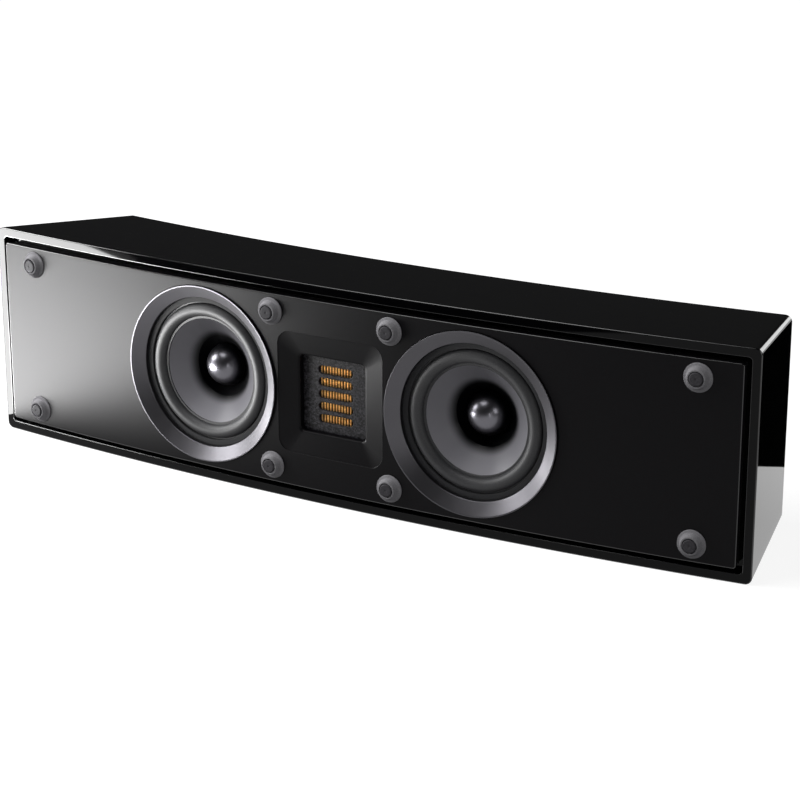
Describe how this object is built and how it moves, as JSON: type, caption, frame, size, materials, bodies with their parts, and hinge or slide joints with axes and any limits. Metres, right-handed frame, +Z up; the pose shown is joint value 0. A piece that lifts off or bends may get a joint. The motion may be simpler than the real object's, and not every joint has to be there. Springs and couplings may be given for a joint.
{
  "type": "center channel speaker",
  "caption": "Wide gloss-black arc-plan loudspeaker with satin curved baffle, paired woofers, pleated tweeter behind a slotted plate, grille studs and rear binding posts.",
  "frame": {"origin": "middle of the flat underside: mid-width, and half of the cabinet's depth behind the front apex", "axes": "+X to the listener's right along the width, +Y from the front to the back, +Z up"},
  "size_m": [0.7396, 0.1774, 0.1899],
  "materials": {
    "lacquer": "fibreboard sprayed with polished gloss-black lacquer",
    "baffle_paint": "fibreboard with a fine satin black paint",
    "raw_board": "bare fibreboard",
    "foam": "black closed-cell foam tape",
    "wadding": "white polyester wadding",
    "satin_ring": "turned aluminium with a satin silver-grey finish",
    "basket": "black glass-filled polymer",
    "screw": "black zinc-plated steel",
    "surround": "black butyl rubber",
    "cone": "pressed pulp cone with a smooth satin grey coat",
    "dust_cap": "gloss-black moulded dish",
    "former": "thin aluminium tube",
    "copper": "enamelled copper wire",
    "spider": "resin-dipped corrugated cotton",
    "steel": "zinc-plated mild steel",
    "ferrite": "sintered ferrite",
    "grey_steel": "steel with a fine sand-textured grey coat",
    "film": "amber polyimide film with etched aluminium tracks",
    "polymer": "black moulded polymer",
    "neodymium": "nickel-plated neodymium",
    "stud": "firm dark-grey rubber",
    "stud_insert": "dark plated steel",
    "gold_plate": "gold-plated brass",
    "red_nut": "clear red moulded polymer",
    "black_nut": "black moulded polymer",
    "board": "green glass-epoxy board",
    "capacitor": "red-brown film capacitor sleeve",
    "ceramic": "white ceramic"
  },
  "bodies": {
    "cabinet": {"cabinet_shell": "lacquer", "front_baffle": "baffle_paint", "baffle_seal": "foam", "left_brace": "raw_board", "right_brace": "raw_board", "left_wadding": "wadding", "right_wadding": "wadding", "left_trim_ring": "satin_ring", "left_basket": "basket", "left_basket_screws": "screw", "left_gasket": "foam", "left_surround": "surround", "left_spider": "spider", "left_top_plate": "steel", "left_ring_magnet": "ferrite", "left_pole_yoke": "steel", "right_trim_ring": "satin_ring", "right_basket": "basket", "right_basket_screws": "screw", "right_gasket": "foam", "right_surround": "surround", "right_spider": "spider", "right_top_plate": "steel", "right_ring_magnet": "ferrite", "right_pole_yoke": "steel", "tweeter_face_plate": "grey_steel", "tweeter_pleated_film": "film", "tweeter_film_frame": "polymer", "tweeter_bar_magnets": "neodymium", "tweeter_rear_plate": "steel", "tweeter_back_cup": "polymer", "tweeter_screws": "screw", "grille_studs": "stud", "grille_stud_inserts": "stud_insert", "terminal_plate": "polymer", "terminal_screws": "screw", "red_post": "gold_plate", "black_post": "gold_plate", "post_back_nuts": "gold_plate", "crossover_board": "board", "crossover_inductors": "copper", "crossover_capacitors": "capacitor", "crossover_resistors": "ceramic", "crossover_standoffs": "polymer"},
    "left_cone_set": {"left_cone": "cone", "left_dust_cap": "dust_cap", "left_coil_former": "former", "left_coil_winding": "copper"},
    "right_cone_set": {"right_cone": "cone", "right_dust_cap": "dust_cap", "right_coil_former": "former", "right_coil_winding": "copper"},
    "red_nut": {"red_thumb_nut": "red_nut"},
    "black_nut": {"black_thumb_nut": "black_nut"}
  },
  "joints": [
    {"name": "left_cone_travel", "type": "slide", "parent": "cabinet", "child": "left_cone_set", "axis": [-0.0404, -0.9992, 0], "range_m": [-0.004, 0.004], "stiffness_N_per_m": 900, "deforming": ["left_surround", "left_spider"]},
    {"name": "right_cone_travel", "type": "slide", "parent": "cabinet", "child": "right_cone_set", "axis": [0.0404, -0.9992, 0], "range_m": [-0.004, 0.004], "stiffness_N_per_m": 900, "deforming": ["right_surround", "right_spider"]},
    {"name": "red_nut_turn", "type": "hinge", "parent": "cabinet", "child": "red_nut", "pos_m": [0.0095, 0.07044, 0.088], "axis": [0, 1, 0], "range_deg": [0, 1080]},
    {"name": "black_nut_turn", "type": "hinge", "parent": "cabinet", "child": "black_nut", "pos_m": [-0.0095, 0.07044, 0.088], "axis": [0, 1, 0], "range_deg": [0, 1080]}
  ]
}
